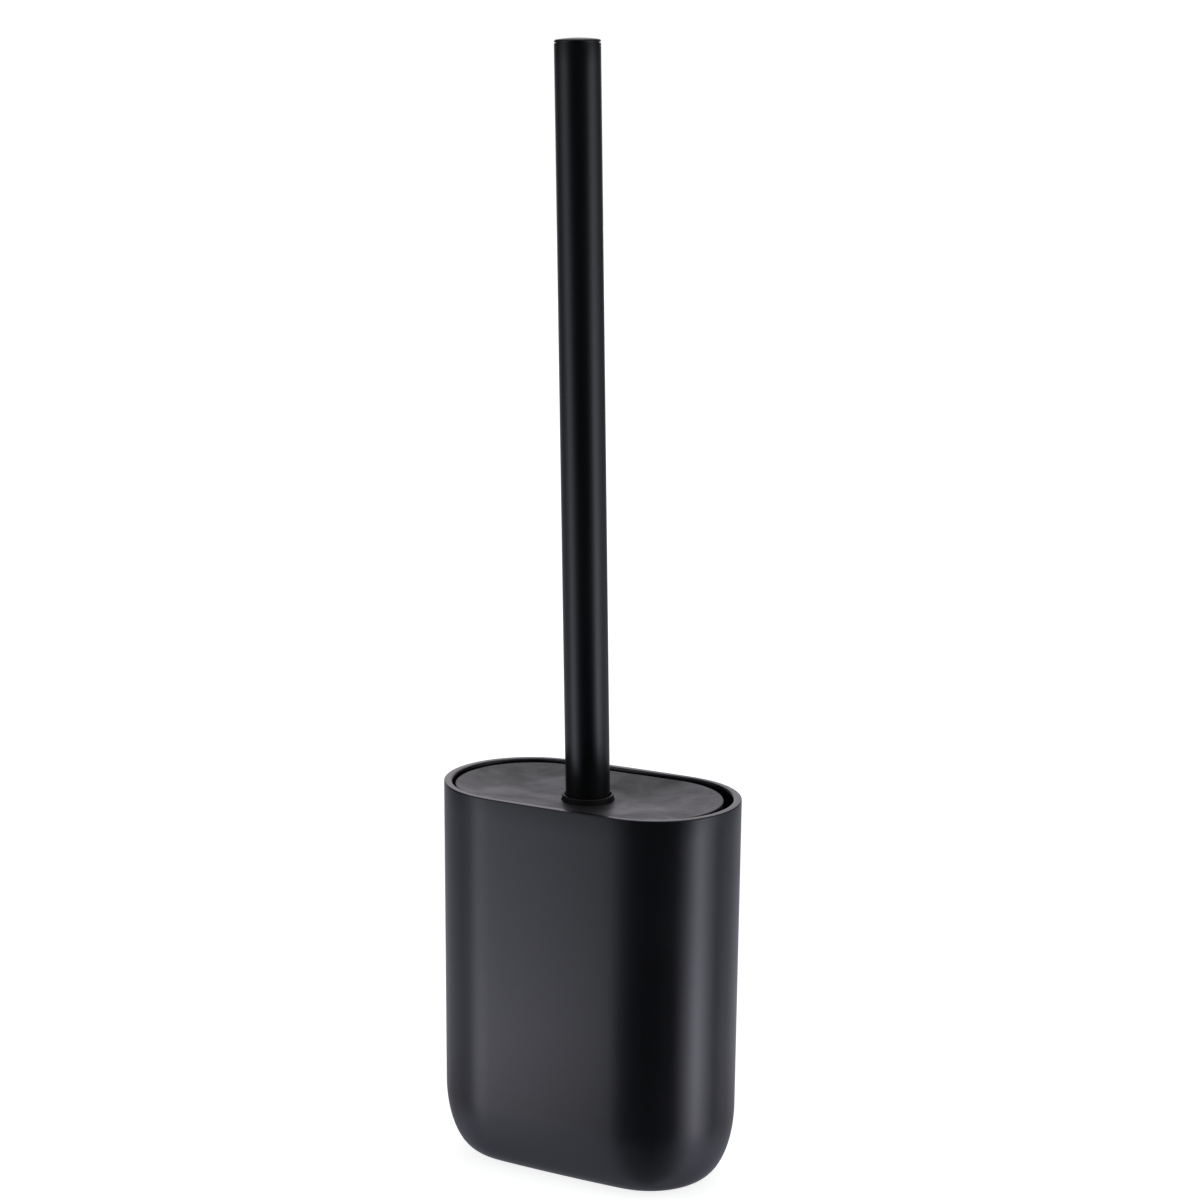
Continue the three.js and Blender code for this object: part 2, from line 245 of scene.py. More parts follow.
# ---------------------------------------------------------------- materials
def material(name, color, rough, metal=0.0, spec=0.5, coat=0.0, coat_rough=0.1):
    """A Principled material whose colour, roughness and relief a builder
    function fills in afterwards."""
    m = bpy.data.materials.new(name)
    m.use_nodes = True
    nt = m.node_tree
    bsdf = nt.nodes["Principled BSDF"]
    bsdf.inputs["Base Color"].default_value = (*color, 1)
    bsdf.inputs["Roughness"].default_value = rough
    bsdf.inputs["Metallic"].default_value = metal
    bsdf.inputs["Specular IOR Level"].default_value = spec
    bsdf.inputs["Coat Weight"].default_value = coat
    bsdf.inputs["Coat Roughness"].default_value = coat_rough
    m.diffuse_color = (*color, 1)
    return m, nt, bsdf


class Nodes:
    """Short names for the shader nodes used below."""

    def __init__(self, nt):
        self.nt = nt
        self.coord = nt.nodes.new("ShaderNodeTexCoord").outputs["Object"]

    def _set(self, socket, value):
        if isinstance(value, bpy.types.NodeSocket):
            self.nt.links.new(value, socket)
        elif value is not None:
            socket.default_value = value

    def scaled(self, sx, sy, sz, vector=None, at=(0, 0, 0)):
        n = self.nt.nodes.new("ShaderNodeMapping")
        self._set(n.inputs["Vector"], vector or self.coord)
        n.inputs["Location"].default_value = at
        n.inputs["Scale"].default_value = (sx, sy, sz)
        return n.outputs["Vector"]

    def noise(self, scale, detail=3.0, rough=0.5, vector=None, distortion=0.0):
        n = self.nt.nodes.new("ShaderNodeTexNoise")
        self._set(n.inputs["Vector"], vector or self.coord)
        n.inputs["Scale"].default_value = scale
        n.inputs["Detail"].default_value = detail
        n.inputs["Roughness"].default_value = rough
        n.inputs["Distortion"].default_value = distortion
        return n.outputs["Fac"]

    def voronoi(self, scale, vector=None, feature="F1"):
        n = self.nt.nodes.new("ShaderNodeTexVoronoi")
        n.feature = feature
        self._set(n.inputs["Vector"], vector or self.coord)
        n.inputs["Scale"].default_value = scale
        return n.outputs["Distance"]

    def ramp(self, fac, *stops):
        n = self.nt.nodes.new("ShaderNodeValToRGB")
        self._set(n.inputs["Fac"], fac)
        el = n.color_ramp.elements
        while len(el) > 1:
            el.remove(el[-1])
        for i, (pos, value) in enumerate(stops):
            c = (value,) * 3 if isinstance(value, (int, float)) else value
            e = el[0] if i == 0 else el.new(pos)
            e.position = pos
            e.color = (*c, 1)
        return n.outputs["Color"]

    def range(self, value, a, b, c, d):
        n = self.nt.nodes.new("ShaderNodeMapRange")
        self._set(n.inputs["Value"], value)
        for k, x in (("From Min", a), ("From Max", b), ("To Min", c), ("To Max", d)):
            n.inputs[k].default_value = x
        return n.outputs["Result"]

    def math(self, op, a, b=None):
        n = self.nt.nodes.new("ShaderNodeMath")
        n.operation = op
        self._set(n.inputs[0], a)
        self._set(n.inputs[1], b)
        return n.outputs[0]

    def mix(self, fac, a, b):
        n = self.nt.nodes.new("ShaderNodeMix")
        n.data_type = "RGBA"
        self._set(n.inputs["Factor"], fac)
        for k, x in (("A", a), ("B", b)):
            s = [i for i in n.inputs if i.name == k and i.type == "RGBA"][0]
            self._set(s, (*x, 1) if isinstance(x, tuple) else x)
        return [o for o in n.outputs if o.type == "RGBA"][0]

    def bump(self, height, strength, distance, normal=None):
        n = self.nt.nodes.new("ShaderNodeBump")
        n.inputs["Strength"].default_value = strength
        n.inputs["Distance"].default_value = distance
        self._set(n.inputs["Height"], height)
        if normal is not None:
            self._set(n.inputs["Normal"], normal)
        return n.outputs["Normal"]

    def z(self):
        n = self.nt.nodes.new("ShaderNodeSeparateXYZ")
        self._set(n.inputs[0], self.coord)
        return n.outputs["Z"]


def moulded(name, base, light, rough, spread, grain, depth, spec=0.5, cloud=18.0):
    """Moulded plastic or rubber: faint clouding in colour and gloss, and the
    fine spark-eroded grain of the mould. Grain is cells per metre."""
    m, nt, bsdf = material(name, base, rough, spec=spec)
    k = Nodes(nt)
    big = k.noise(cloud, 4.0, 0.55)
    fine = k.noise(grain, 2.0, 0.6)
    tone = k.mix(k.range(big, 0.3, 0.7, 0.0, 1.0), base, light)
    nt.links.new(tone, bsdf.inputs["Base Color"])
    r = k.math(
        "ADD",
        k.range(big, 0.3, 0.7, rough - spread, rough + spread),
        k.range(fine, 0.3, 0.7, -spread * 0.5, spread * 0.5),
    )
    nt.links.new(r, bsdf.inputs["Roughness"])
    pits = k.voronoi(grain * 0.8)
    h = k.math("ADD", k.math("MULTIPLY", pits, 0.5), fine)
    nt.links.new(k.bump(h, 1.0, depth), bsdf.inputs["Normal"])
    return m


def clouded_with_painted_light(name):
    """The lid's matte moulding: swirled clouds of paler tone and more gloss,
    finer streaks and the fine grain of the mould. The clouds are placed so
    that their paler tone also paints a highlight along the front left and
    painted shade towards the back right."""
    m, nt, bsdf = material(name, (0.028, 0.026, 0.029), 0.46, spec=0.55)
    k = Nodes(nt)
    # the swirl's offset places its paler clouds as a painted highlight along the front left and painted
    # shade towards the back right; the rest is the moulding's own mottle
    swirl_with_painted_light = k.noise(46.0, 5.0, 0.58, k.scaled(1.0, 0.75, 1.0, at=(-0.29, 0.049, 0.551)), distortion=1.1)
    fine_streaks = k.noise(120.0, 4.0, 0.6, k.scaled(0.7, 1.3, 1.0), distortion=0.6)
    fine = k.noise(1700.0, 2.0, 0.6)
    cloud = k.math("ADD", k.math("MULTIPLY", swirl_with_painted_light, 0.76), k.math("MULTIPLY", fine_streaks, 0.24))
    # paler base colour in the clouds: partly the moulding's mottle, partly painted highlight
    tone = k.ramp(
        cloud,
        (0.38, (0.0185, 0.0172, 0.0194)),
        (0.50, (0.0282, 0.0262, 0.0292)),
        (0.62, (0.0490, 0.0455, 0.0505)),
    )
    nt.links.new(tone, bsdf.inputs["Base Color"])
    r = k.math(
        "ADD",
        k.range(cloud, 0.38, 0.62, 0.54, 0.38),
        k.range(fine, 0.3, 0.7, -0.02, 0.02),
    )
    nt.links.new(r, bsdf.inputs["Roughness"])
    pits = k.voronoi(1300.0)
    h = k.math("ADD", k.math("MULTIPLY", pits, 0.5), fine)
    grain = k.bump(h, 1.0, 0.000018)
    nt.links.new(k.bump(cloud, 1.0, 0.00035, grain), bsdf.inputs["Normal"])
    return m


def coated_tube(name, base, rough):
    """Powder coat over drawn tube: orange peel, drawn out along the tube."""
    m, nt, bsdf = material(name, base, rough, spec=0.5)
    k = Nodes(nt)
    peel = k.noise(900.0, 2.0, 0.5, k.scaled(1, 1, 0.45))
    long = k.noise(60.0, 3.0, 0.6, k.scaled(1, 1, 0.08))
    speck = k.noise(2600.0, 1.0, 0.5)
    tone = k.mix(
        k.range(long, 0.35, 0.65, 0.0, 1.0), base, tuple(c * 1.35 for c in base)
    )
    nt.links.new(tone, bsdf.inputs["Base Color"])
    r = k.math(
        "ADD",
        k.range(long, 0.35, 0.65, rough - 0.025, rough + 0.025),
        k.range(speck, 0.3, 0.7, -0.02, 0.02),
    )
    nt.links.new(r, bsdf.inputs["Roughness"])
    h = k.math("ADD", peel, k.math("MULTIPLY", speck, 0.25))
    nt.links.new(k.bump(h, 1.0, 0.000012), bsdf.inputs["Normal"])
    return m


def plated(name):
    """Zinc-plated steel with turning marks."""
    m, nt, bsdf = material(name, (0.55, 0.55, 0.53), 0.32, metal=1.0)
    k = Nodes(nt)
    rings = k.noise(240.0, 3.0, 0.6, k.scaled(0.4, 0.4, 14))
    cloud = k.noise(130.0, 3.0, 0.6)
    tone = k.mix(k.range(cloud, 0.3, 0.7, 0, 1), (0.50, 0.51, 0.50), (0.62, 0.61, 0.57))
    nt.links.new(tone, bsdf.inputs["Base Color"])
    nt.links.new(k.range(rings, 0.3, 0.7, 0.24, 0.42), bsdf.inputs["Roughness"])
    nt.links.new(k.bump(rings, 1.0, 0.00001), bsdf.inputs["Normal"])
    return m


def nylon(name):
    """Black nylon filament: each one its own tone, scuffed paler at its end."""
    m, nt, bsdf = material(name, (0.006, 0.006, 0.007), 0.38, spec=0.5)
    k = Nodes(nt)
    at = nt.nodes.new("ShaderNodeAttribute")
    at.attribute_name = "fibre"
    one, along = at.outputs["Fac"], nt.nodes.new("ShaderNodeAttribute")
    along.attribute_name = "along"
    tone = k.mix(one, (0.0045, 0.0045, 0.005), (0.014, 0.014, 0.0155))
    tone = k.mix(
        k.range(along.outputs["Fac"], 0.86, 1.0, 0.0, 0.65), tone, (0.045, 0.045, 0.047)
    )
    nt.links.new(tone, bsdf.inputs["Base Color"])
    nt.links.new(k.range(one, 0, 1, 0.3, 0.48), bsdf.inputs["Roughness"])
    nt.links.new(
        k.bump(k.noise(3500.0, 2.0, 0.5), 1.0, 0.000008), bsdf.inputs["Normal"]
    )
    return m


M_CUP = moulded(
    "cup_satin", (0.0090, 0.0092, 0.0105), (0.0116, 0.0120, 0.0134), 0.235, 0.02,
    2400.0, 0.000006, cloud=22.0,
)
M_LID = clouded_with_painted_light("lid_matte")
M_BUSH = moulded(
    "bushing_smooth", (0.0070, 0.0072, 0.0074), (0.0090, 0.0092, 0.0094), 0.48, 0.03,
    2600.0, 0.000004, cloud=120.0,
)
M_CAP = moulded(
    "cap_smooth", (0.0022, 0.0020, 0.0022), (0.0034, 0.0032, 0.0035), 0.36, 0.03,
    2600.0, 0.000005, cloud=150.0,
)
M_TUBE = coated_tube("tube_coat", (0.0052, 0.0054, 0.0062), 0.32)
M_RUBBER = moulded(
    "rubber_matte", (0.016, 0.016, 0.016), (0.026, 0.026, 0.026), 0.78, 0.05,
    1800.0, 0.00003, spec=0.35, cloud=160.0,
)
M_CORE = moulded(
    "core_moulded", (0.008, 0.008, 0.009), (0.012, 0.012, 0.013), 0.4, 0.04,
    1800.0, 0.00001, cloud=70.0,
)
M_ZINC = plated("zinc_plate")
M_NYLON = nylon("nylon_black")


def finish(ob, mat, body, slot, *nodes):
    ob.data.materials.clear()
    ob.data.materials.append(mat)
    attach(ob, body)
    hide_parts(*nodes)
    return ob


# ---------------------------------------------------------------------- cup
def cup():
    ribs = (-66.0, 0.0, 66.0)
    half = math.degrees(RIB_WIDE / 2 / (CUP_B - WALL))
    ends = {-90 + 180 * i / 60 for i in range(61)}
    for r in ribs:
        ends = {t for t in ends if abs(t - r) > half + 1.2}
        for d in (0.0, half - 0.75, half - 0.25, half + 0.1, half + 0.25):
            ends |= {r - d, r + d}
    ends = sorted(ends)
    drafted = lambda z: DRAFT * (CUP_H - z)
    top = CUP_H - LIP
    outside = crowned(ends)

    def outer(z, inset, at=None):
        d = drafted(at if at is not None else z) + inset
        return [(x - d * nx, y - d * ny, z) for x, y, nx, ny in outside]

    def rib(t):
        """How far the rib stands out at an angle of the round end, 0 to 1."""
        d = min(abs(t - r) for r in ribs) - half
        if d >= 0.2:
            return 0.0
        if d >= 0.0:
            return 0.12 * (1 - d / 0.2)
        return min(1.0, 0.12 + 0.88 * math.sqrt(min(1.0, -d / 0.75)))

    def ring(z, inset, at=None, deep=0.0):
        d = drafted(at if at is not None else z)
        a, b = CUP_A - d - inset, CUP_B - d - inset
        pts = outline(a, b, ends)
        if deep:
            n = len(ends)
            s = a - b
            out = []
            m = n + 13
            for i, (x, y) in enumerate(pts):
                j = i % m
                if j < n:
                    k = 1 - deep * rib(ends[j]) / b
                    cx = s if i < m else -s
                    x, y = cx + (x - cx) * k, y * k
                out.append((x, y))
            pts = out
        return [(x, y, z) for x, y in pts]

    s = []
    for i in range(27):
        t = math.pi / 2 * i / 26
        s.append(outer(RND_UP * (1 - math.cos(t)), RND_IN * (1 - math.sin(t)), RND_UP))
    for z in (34, 46, 60, 76, 92, 108, 122, 132):
        s.append(outer(z, 0))
    for i in range(8):
        t = math.pi / 2 * i / 7
        s.append(outer(top + LIP * math.sin(t), LIP * (1 - math.cos(t)), top))
    top = CUP_H - LIP_IN
    for i in range(9, -1, -1):
        t = math.pi / 2 * i / 9
        z = top + LIP_IN * math.sin(t)
        s.append(ring(z, WALL - LIP_IN * (1 - math.cos(t)), top))
    s.append(ring(138.2, WALL))
    s.append(ring(RIB_TOP + 0.02, WALL))
    foot_full = RIB_TOP - RIB_TALL + 3.5
    foot_low = foot_full - RIB_DEEP / 3.9 * 5.1
    for z, deep in (
        (RIB_TOP, RIB_DEEP - 0.35),
        (RIB_TOP - 0.1, RIB_DEEP - 0.12),
        (RIB_TOP - 0.35, RIB_DEEP),
        (RIB_TOP - 2.5, RIB_DEEP),
        (foot_full, RIB_DEEP),
        (foot_full - (foot_full - foot_low) * 0.33, RIB_DEEP * 0.67),
        (foot_full - (foot_full - foot_low) * 0.66, RIB_DEEP * 0.34),
    ):
        s.append(ring(z, WALL, None, deep))
    for z in (foot_low, 118, 104, 88, 72, 56, 40, 31):
        s.append(ring(z, WALL))
    for i in range(24, -1, -1):
        t = math.pi / 2 * i / 24
        s.append(
            ring(
                FLOOR + (RND_UP - FLOOR) * (1 - math.cos(t)),
                WALL + (RND_IN - 2.7) * (1 - math.sin(t)),
                RND_UP,
            )
        )
    v, f = skin(s)
    me = bpy.data.meshes.new("cup_shell")
    bm = bmesh.new()
    made = [bm.verts.new((CUP_AT @ Vector(p)) * MM) for p in v]
    for face in f:
        bm.faces.new([made[i] for i in face])
    n = len(s[0])
    # the floor inside, flat
    bm.faces.new([made[len(v) - n + i] for i in range(n)])
    # the base, flat, with a pocket for each foot
    bm.verts.ensure_lookup_table()
    loop = made[:n]
    edges = []
    for i in range(n):
        e = bm.edges.get((loop[i], loop[(i + 1) % n]))
        edges.append(e)
    pockets = []
    for sx in (-1, 1):
        for sy in (-1, 1):
            m = 64
            rims = []
            for r, z in (
                (FOOT_R + 0.45, 0.0),
                (FOOT_R + 0.33, 0.05),
                (FOOT_R + 0.3, 0.15),
                (FOOT_R + 0.3, POCKET),
            ):
                rims.append(
                    [
                        bm.verts.new(
                            (
                                CUP_AT
                                @ Vector(
                                    (
                                        sx * FOOT_X + r * math.cos(2 * math.pi * i / m),
                                        sy * FOOT_Y + r * math.sin(2 * math.pi * i / m),
                                        z,
                                    )
                                )
                            )
                            * MM
                        )
                        for i in range(m)
                    ]
                )
            for i in range(m):
                edges.append(bm.edges.new((rims[0][i], rims[0][(i + 1) % m])))
            pockets.append(rims)
    bmesh.ops.triangle_fill(bm, use_beauty=True, edges=edges, normal=(0, 0, -1))
    for rims in pockets:
        m = len(rims[0])
        for a, b in zip(rims, rims[1:]):
            for i in range(m):
                j = (i + 1) % m
                bm.faces.new((a[i], a[j], b[j], b[i]))
        bm.faces.new(rims[-1])
    bmesh.ops.recalc_face_normals(bm, faces=bm.faces)
    bm.to_mesh(me)
    bm.free()
    for p in me.polygons:
        p.use_smooth = True
    me.set_sharp_from_angle(angle=math.radians(38))
    ob = bpy.data.objects.new("cup_shell", me)
    scene.collection.objects.link(ob)
    return ob


finish(cup(), M_CUP, "holder", "cup", "holder_cup")

for ny, sy in (("front", -1), ("back", 1)):
    for nx, sx in (("left", -1), ("right", 1)):
        prof = [(0, -FOOT), (3.4, -FOOT)]
        prof += [(3.75, -FOOT + 0.12), (4.1, -FOOT)]  # moulded ring on the face
        prof += arc(FOOT_R - 0.45, -FOOT + 0.45, 0.45, -90, 0, 6)
        prof += [(FOOT_R, 0.55), (FOOT_R - 0.1, 0.7), (0, 0.7)]
        pad = turned(
            f"rubber_foot_{ny}_{nx}",
            prof,
            CUP_AT @ Matrix.Translation((sx * FOOT_X, sy * FOOT_Y, 0)),
            64,
        )
        finish(pad, M_RUBBER, "holder", "feet", f"foot_pad_{ny}_{nx}")


# ---------------------------------------------------------------------- lid
def dish(x, y):
    b, s = LID_B, LID_A - LID_B
    x, y = abs(x), abs(y)
    lo, hi = 0.0, 1.2
    for _ in range(44):
        k = (lo + hi) / 2
        inside = y <= k * b if x <= k * s else math.hypot(x - k * s, y) <= k * b
        lo, hi = (lo, k) if inside else (k, hi)
    return -DISH * max(0.0, 1 - lo * lo)


def smooth(x, a, b):
    t = min(1.0, max(0.0, (x - a) / (b - a)))
    return t * t * (3 - 2 * t)


def lid():
    ends = [-90 + 180 * i / 48 for i in range(49)]
    edge = outline(LID_A, LID_B, ends, 30)
    land_z = -DISH + 0.08
    # every outline point has its own line in to the hole
    angles = [math.atan2(y, x) for x, y in edge]

    def level(x, y, t):
        w = smooth(math.hypot(x, y), LAND - 2.6, LAND + 5.0)
        return land_z * (1 - w) + dish(x, y) * w - t

    def at(f, inset, dz):
        pts = []
        for (x, y), a in zip(outline(LID_A - inset, LID_B - inset, ends, 30), angles):
            hx, hy = HOLE * math.cos(a), HOLE * math.sin(a)
            px, py = hx + (x - hx) * f, hy + (y - hy) * f
            pts.append((px, py, dz(px, py)))
        return pts

    rows = 26
    top, under = [], []
    for i in range(rows):
        f = i / rows
        top.append(at(f, LID_E, lambda x, y: level(x, y, 0)))
        under.append(at(f, LID_E, lambda x, y: level(x, y, LID_T)))
    e = LID_E
    rim = []
    for i in range(7):
        t = math.pi / 2 * i / 6
        rim.append(
            at(1, e - e * math.sin(t), lambda x, y: -LID_T + e * (1 - math.cos(t)))
        )
    for i in range(7):
        t = math.pi / 2 * i / 6
        rim.append(at(1, e - e * math.cos(t), lambda x, y: -e + e * math.sin(t)))
    # softened edges of the hole
    hole = [
        [(x, y, land_z - LID_T + 0.2) for x, y, _ in at(0, 0, lambda x, y: 0)],
        [(x, y, land_z - 0.2) for x, y, _ in at(0, 0, lambda x, y: 0)],
    ]
    top[0] = [(x * 1.02, y * 1.02, land_z) for x, y, _ in top[0]]
    under[0] = [(x * 1.02, y * 1.02, land_z - LID_T) for x, y, _ in under[0]]
    v, f = skin([hole[0]] + under + rim + top[::-1] + [hole[1]], loop=True)
    return mesh_object("lid_disc", v, f, LID_AT, 45)


finish(lid(), M_LID, "lid", "lid", "lid_plate")

t = -DISH + BUSH_UP
f = -DISH + 0.08 - LID_T - 0.1
prof = arc(BUSH_F - 0.35, f - BUSH_FT + 0.35, 0.35, -90, 0, 5)
prof += [(BUSH_F, f), (BUSH_R + 0.15, f), (BUSH_R, f + 0.15)]
prof += arc(BUSH_R - 0.3, t - 0.3, 0.3, 0, 90, 7)
prof += [(BUSH_R - 0.42, t)]
prof += arc(BORE + 0.38, t - 0.38, 0.38, 90, 180, 6)
prof += [(BORE, f - BUSH_FT + 0.4), (BORE + 0.4, f - BUSH_FT)]
finish(
    turned("bushing_ring", prof, LID_AT, 128), M_BUSH, "lid", "bushing", "lid_bushing"
)

# -------------------------------------------------------------------- brush
ri = TUBE_R - TUBE_W
prof = [(ri, tube_bottom + 0.1), (ri + 0.1, tube_bottom)]
prof += arc(TUBE_R - 0.22, tube_bottom + 0.22, 0.22, -90, 0, 5)
prof += [(TUBE_R, tube_bottom + (tube_top - tube_bottom) * i / 40) for i in range(1, 40)]
prof += arc(TUBE_R - 0.05, tube_top - 0.05, 0.05, 0, 90, 3)
prof += [(ri, tube_top)]
finish(
    turned("handle_shaft", prof, BRUSH_AT, 128), M_TUBE, "handle", "tube", "handle_tube"
)

z = tube_top + 0.28
rc = TUBE_R - 0.02
prof = [(0, z - SPIGOT), (5.7, z - SPIGOT)]
prof += [(ri - 0.15, z - SPIGOT + 1.0), (ri - 0.15, tube_top - 0.03)]
prof += [(ri - 0.15, tube_top + 0.01), (TUBE_R - 0.5, tube_top + 0.01), (TUBE_R - 0.5, z)]
prof += arc(rc - 0.05, z + 0.05, 0.05, -90, 0, 3)
prof += arc(rc - CAP_RND, tube_top + CAP_SIDE, CAP_RND, 0, 80, 9)
edge_r, edge_z = prof[-1]
for i in range(1, 13):
    r = edge_r * (1 - i / 12)
    prof.append((r, TOP - (TOP - edge_z) * (r / edge_r) ** 2))
prof[-1] = (0, TOP)
finish(
    turned("top_cap", prof, BRUSH_AT, 128), M_CAP, "handle", "end_cap", "handle_end_cap"
)


def threaded(name, z0, z1, radius, pitch, depth, at, inner=None, n=48):
    """A cylinder with a helical thread outside, or a tube with one inside when
    inner is the outer radius of that tube."""
    step = pitch / 6
    rows = int((z1 - z0) / step)
    sections = []
    for j in range(rows + 1):
        zz = z0 + (z1 - z0) * j / rows
        fade = min(1.0, (zz - z0) / pitch, (z1 - zz) / pitch)
        ring = []
        for i in range(n):
            a = 2 * math.pi * i / n
            ph = (zz / pitch - i / n) % 1.0
            cut = depth * (1 - abs(2 * ph - 1)) * max(0.0, fade)
            end = 0.5 * (1 - max(0.0, min(1.0, min(zz - z0, z1 - zz) / 0.5)))
            r = radius - cut - end if inner is None else radius + cut + end
            ring.append((r * math.cos(a), r * math.sin(a), zz))
        sections.append(ring)
    if inner is None:
        v, f = skin(sections, start=(0, 0, z0), end=(0, 0, z1))
    else:
        circle = lambda r, zz: [
            (
                r * math.cos(2 * math.pi * i / n),
                r * math.sin(2 * math.pi * i / n),
                zz,
            )
            for i in range(n)
        ]
        sections += [circle(inner - 0.8, z1), circle(inner, z1 - 0.8)]
        sections += [circle(inner, z0 + 0.3), circle(inner - 0.3, z0)]
        v, f = skin(sections, loop=True)
    return mesh_object(name, v, f, at, 50)


socket = sho_top - 13
finish(
    threaded(
        "screw_stud", socket + FIT, socket + FIT + STUD_L, STUD_R, 1.25, 0.6, BRUSH_AT
    ),
    M_ZINC,
    "brush_head",
    "threaded_metal",
    "head_stud",
)
finish(
    threaded(
        "tube_plug",
        tube_bottom + 0.4,
        tube_bottom + PLUG_L,
        STUD_R + 0.12,
        1.25,
        0.55,
        BRUSH_AT,
        ri - 0.1,
    ),
    M_ZINC,
    "handle",
    "threaded_metal",
    "handle_threaded_plug",
)
rw = TUBE_R - 0.1
prof = [(STUD_R + 0.7, wash_bottom + 0.2), (STUD_R + 0.9, wash_bottom)]
prof += arc(rw - 0.3, wash_bottom + 0.3, 0.3, -90, 0, 5)
prof += arc(rw - 0.3, wash_bottom + WASH_T - 0.3, 0.3, 0, 90, 5)
prof += [(STUD_R + 0.9, wash_bottom + WASH_T), (STUD_R + 0.7, wash_bottom + WASH_T - 0.2)]
finish(
    turned("rubber_washer", prof, BRUSH_AT, 96),
    M_RUBBER,
    "brush_slide",
    "washer",
    "sealing_washer",
)


# core: rounded end, necked shoulder with gripping flutes, socket for the stud
def core():
    prof = [(0, core_bottom), (2.6, core_bottom + 0.05), (4.4, core_bottom + 0.5)]
    prof += [(5.6, core_bottom + 1.3), (6.25, core_bottom + 2.4), (CORE_R, core_bottom + 3.6)]
    prof += [(CORE_R, core_bottom + 3.6 + (rows_top - core_bottom - 3.6) * i / 24) for i in range(1, 25)]
    r0, r1 = CORE_R, SHO_R - 2.4
    for i in range(1, 15):
        w = i / 14
        prof.append((r0 + (r1 - r0) * smooth(w, 0, 1), rows_top + (neck_top - 1.8 - rows_top) * w))
    prof += [(r1 + 0.5, neck_top - 1.45), (r1 + 1.3, neck_top - 1.0), (SHO_R - 0.35, neck_top - 0.35)]
    prof += [(SHO_R - 0.08, neck_top - 0.05), (SHO_R, neck_top + 0.35)]
    prof += arc(SHO_R - 0.5, sho_top - 0.5, 0.5, 0, 90, 6)
    prof += [(STUD_R + 0.6, sho_top), (STUD_R + 0.3, sho_top - 0.3)]
    prof += [(STUD_R + 0.3, socket), (0, socket)]
    n = 160
    sections = []
    for r, z in prof[1:-1]:
        ring = []
        w = smooth(z, rows_top + 2.0, rows_top + 5.0) * (1 - smooth(z, neck_top - 5.0, neck_top - 2.4))
        w = w if r > STUD_R + 1 else 0.0
        g = smooth(z, neck_top - 0.4, neck_top + 0.2) * (1 - smooth(z, sho_top - 0.9, sho_top - 0.3))
        g = g if r > SHO_R - 0.6 else 0.0
        for i in range(n):
            a = 2 * math.pi * i / n
            rr = r - 0.75 * w * (0.5 + 0.5 * math.cos(8 * a)) ** 2
            rr -= 0.3 * g * (0.5 + 0.5 * math.cos(32 * a)) ** 1.5
            ring.append((rr * math.cos(a), rr * math.sin(a), z))
        sections.append(ring)
    v, f = skin(sections, start=(0, 0, prof[0][1]), end=(0, 0, prof[-1][1]))
    return mesh_object("brush_core", v, f, BRUSH_AT, 50)


finish(core(), M_CORE, "brush_head", "core", "head_core")


# bristles: filaments in tufts, every one its own curved, tapering strand
def tufts(name, places, seed, node):
    """places: (root point, direction, length) of each tuft."""
    rnd = random.Random(seed)
    verts, faces, one, along = [], [], [], []
    sides = 5
    for root, way, length in places:
        way = Vector(way).normalized()
        side = way.orthogonal().normalized()
        up = way.cross(side)
        count = 26
        for q in range(count):
            # even fill of the tuft hole
            rr = 1.25 * math.sqrt((q + 0.5) / count)
            aa = q * 2.399963 + rnd.uniform(-0.2, 0.2)
            off = side * (rr * math.cos(aa)) + up * (rr * math.sin(aa))
            fan = 0.13 * rr / 1.25 + rnd.uniform(-0.02, 0.03)
            d = (way + off.normalized() * fan).normalized()
            d = (
                d + side * rnd.gauss(0, 0.042) + up * rnd.gauss(0, 0.042)
            ).normalized()
            start = Vector(root) + off - way * 0.8
            ln = length + 0.8 + rnd.uniform(-0.35, 0.3)
            bend = side * rnd.gauss(0, 0.45) + up * rnd.gauss(0, 0.45)
            wave = rnd.uniform(0, 6.28)
            thick = 0.24 * rnd.uniform(0.9, 1.08)
            tone = rnd.random()
            steps = 5
            frame_side = d.orthogonal().normalized()
            frame_up = d.cross(frame_side)
            base = len(verts)
            for k in range(steps + 1):
                w = k / steps
                c = start + d * (ln * w) + bend * (w * w)
                c += frame_side * (0.10 * math.sin(wave + 5.0 * w) * w)
                r = thick * (1 - 0.18 * w)
                if k == steps:
                    r *= 0.72
                for i in range(sides):
                    a = 2 * math.pi * i / sides
                    verts.append(
                        c + frame_side * (r * math.cos(a)) + frame_up * (r * math.sin(a))
                    )
                    one.append(tone)
                    along.append(w)
            for k in range(steps):
                for i in range(sides):
                    j = (i + 1) % sides
                    a, b = base + k * sides, base + (k + 1) * sides
                    faces.append((a + i, a + j, b + j, b + i))
            # ends: flat at the root, a blunt melt-rounded tip
            faces.append(tuple(base + i for i in reversed(range(sides))))
            tip = len(verts)
            verts.append(start + d * (ln + 0.1) + bend)
            one.append(tone)
            along.append(1.0)
            b = base + steps * sides
            faces += [(b + i, b + (i + 1) % sides, tip) for i in range(sides)]
    me = bpy.data.meshes.new(name)
    me.from_pydata([tuple((BRUSH_AT @ v) * MM) for v in verts], [], faces)
    for label, values in (("fibre", one), ("along", along)):
        layer = me.attributes.new(label, "FLOAT", "POINT")
        layer.data.foreach_set("value", values)
    for p in me.polygons:
        p.use_smooth = True
    ob = bpy.data.objects.new(name, me)
    scene.collection.objects.link(ob)
    return finish(ob, M_NYLON, "brush_head", "bristles", node)


